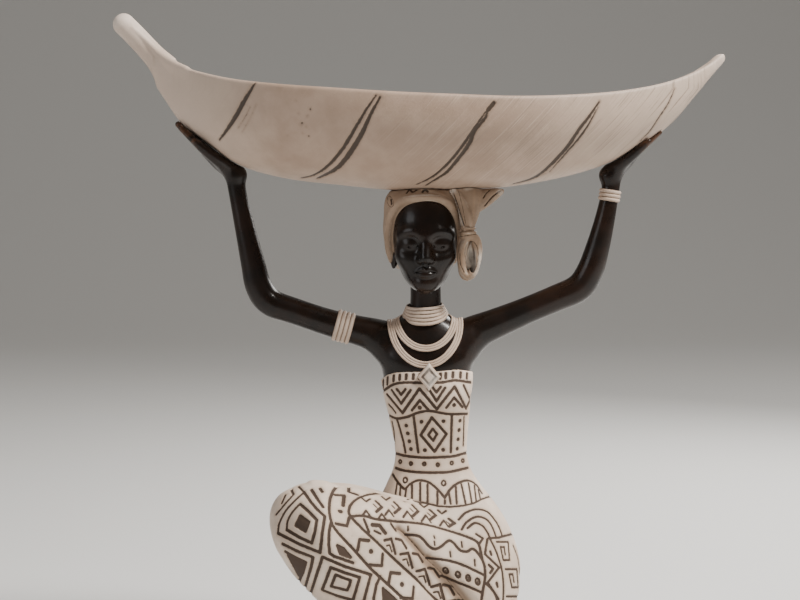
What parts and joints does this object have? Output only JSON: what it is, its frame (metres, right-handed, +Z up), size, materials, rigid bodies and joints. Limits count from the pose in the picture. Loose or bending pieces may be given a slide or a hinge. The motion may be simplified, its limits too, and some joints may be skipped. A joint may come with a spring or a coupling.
{
  "type": "bowl bearer figure",
  "caption": "Crouching woman in a carved dress and headscarf holding up a long leaf-shaped bowl on her head and palms, on a low oval base.",
  "frame": {"origin": "centre of the base's flat underside", "axes": "+Z up, +X along the bowl towards its pointed tip, the face and chest look along -Y"},
  "size_m": [0.3296, 0.1227, 0.378],
  "materials": {
    "figure_casting": "hand-painted cast resin: cream cloth with brown wash in the carved lines, glossy black-brown skin",
    "bowl_casting": "cast resin, brushed greyish beige with brown wash in the leaf veins",
    "base_casting": "cast resin, satin black-brown"
  },
  "bodies": {
    "root": {"bearer_figure": "figure_casting", "leaf_bowl": "bowl_casting", "oval_base": "base_casting"}
  },
  "joints": []
}
